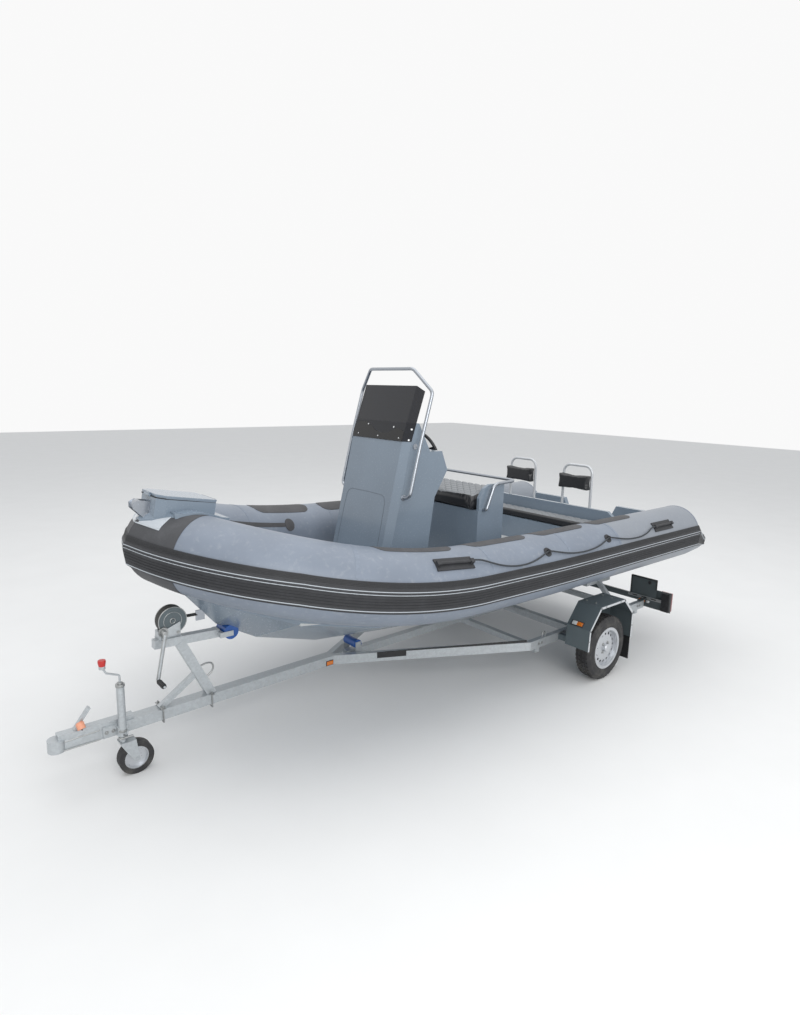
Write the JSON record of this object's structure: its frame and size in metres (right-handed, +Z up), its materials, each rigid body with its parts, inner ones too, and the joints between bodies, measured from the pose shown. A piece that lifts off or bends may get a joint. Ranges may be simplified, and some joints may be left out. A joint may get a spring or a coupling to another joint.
{
  "type": "rigid inflatable boat on a road trailer",
  "caption": "Rigid inflatable boat with a helm console, seats and grab lines, standing on a road trailer with a winch post and jockey wheel",
  "frame": {"origin": "on the ground under the middle of the overall length and width", "axes": "+X towards the bow and the coupling, +Y to port, +Z up"},
  "size_m": [5.9798, 2.4512, 2.588],
  "materials": {
    "tube_fabric": "satin coated fabric, light blue grey",
    "strake_rubber": "dull dark grey rubber",
    "hull_gelcoat": "blue grey gelcoat",
    "deck_gelcoat": "light moulded deck",
    "tinted_screen": "dark tinted acrylic",
    "stainless": "polished stainless",
    "light_frame": "light grey coated tube",
    "black_cushion": "black and grey upholstery",
    "line_rope": "dark braided rope",
    "black_plastic": "black plastic",
    "guard_plastic": "dark mudguard plastic",
    "galvanised": "hot dip galvanised steel",
    "blue_roller": "blue roller",
    "rim_steel": "silver painted steel",
    "tyre_rubber": "tyre rubber",
    "strap_web": "woven strap",
    "red_lens": "red lens"
  },
  "bodies": {
    "boat_and_trailer": {"tube_port": "tube_fabric", "tube_starboard": "tube_fabric", "strake_port": "strake_rubber", "strake_starboard": "strake_rubber", "hull": "hull_gelcoat", "deck": "deck_gelcoat", "transom": "hull_gelcoat", "bow_step": "hull_gelcoat", "bow_roller": "stainless", "bow_fittings": "stainless", "console": "hull_gelcoat", "windscreen": "tinted_screen", "console_rail": "stainless", "helm_column": "black_plastic", "helm_seat": "hull_gelcoat", "helm_seat_cushion": "black_cushion", "helm_seat_rail": "stainless", "bulkhead": "hull_gelcoat", "aft_bench": "hull_gelcoat", "aft_bench_cushion": "black_cushion", "backrest_frames": "light_frame", "backrest_pads": "black_cushion", "line_fittings_port": "strake_rubber", "line_fittings_starboard": "strake_rubber", "lifeline_port": "line_rope", "lifeline_starboard": "line_rope", "rail_port": "galvanised", "rail_starboard": "galvanised", "cross_members": "galvanised", "keel_beam": "galvanised", "keel_rollers": "blue_roller", "axle": "galvanised", "mudguard_port": "guard_plastic", "mudguard_starboard": "guard_plastic", "mud_flap_port": "black_plastic", "mud_flap_starboard": "black_plastic", "coupling": "galvanised", "jockey_tube": "galvanised", "jockey_crank": "galvanised", "winch_post": "galvanised", "winch_arm": "galvanised", "bow_stop_roller": "blue_roller", "winch_frame": "galvanised", "winch_drum": "strap_web", "winch_crank": "galvanised", "winch_strap": "strap_web", "hull_supports": "galvanised", "light_board": "black_plastic", "tail_lamps": "red_lens"},
    "wheel_port": {"tyre_port": "tyre_rubber", "rim_port": "rim_steel"},
    "wheel_starboard": {"tyre_starboard": "tyre_rubber", "rim_starboard": "rim_steel"},
    "jockey_inner": {"jockey_leg": "galvanised"},
    "jockey_swivel": {"jockey_fork": "galvanised"},
    "jockey_wheel": {"jockey_tyre": "tyre_rubber", "jockey_rim": "rim_steel"},
    "helm": {"steering_wheel": "black_plastic"},
    "locker_lid": {"bow_locker_lid": "hull_gelcoat"}
  },
  "joints": [
    {"name": "wheel_port_spin", "type": "hinge", "parent": "boat_and_trailer", "child": "wheel_port", "pos_m": [-1.07, 1.095, 0.281], "axis": [0, 1, 0], "continuous": true},
    {"name": "wheel_starboard_spin", "type": "hinge", "parent": "boat_and_trailer", "child": "wheel_starboard", "pos_m": [-1.07, -1.095, 0.281], "axis": [0, 1, 0], "continuous": true},
    {"name": "jockey_height", "type": "slide", "parent": "boat_and_trailer", "child": "jockey_inner", "axis": [0, 0, 1], "range_m": [-0.15, 0.01]},
    {"name": "jockey_swivel_turn", "type": "hinge", "parent": "jockey_inner", "child": "jockey_swivel", "pos_m": [2.585, 0.074, 0.234], "axis": [0, 0, 1], "continuous": true},
    {"name": "jockey_wheel_spin", "type": "hinge", "parent": "jockey_swivel", "child": "jockey_wheel", "pos_m": [2.517, 0.074, 0.106], "axis": [0, 1, 0], "continuous": true},
    {"name": "helm_turn", "type": "hinge", "parent": "boat_and_trailer", "child": "helm", "pos_m": [0.0822, 0, 1.9201], "axis": [-0.9185, 0, 0.3954], "range_deg": [-540, 540]},
    {"name": "locker_lid_hinge", "type": "hinge", "parent": "boat_and_trailer", "child": "locker_lid", "pos_m": [2.34, 0, 1.756], "axis": [0, 1, 0], "range_deg": [0, 100]}
  ]
}
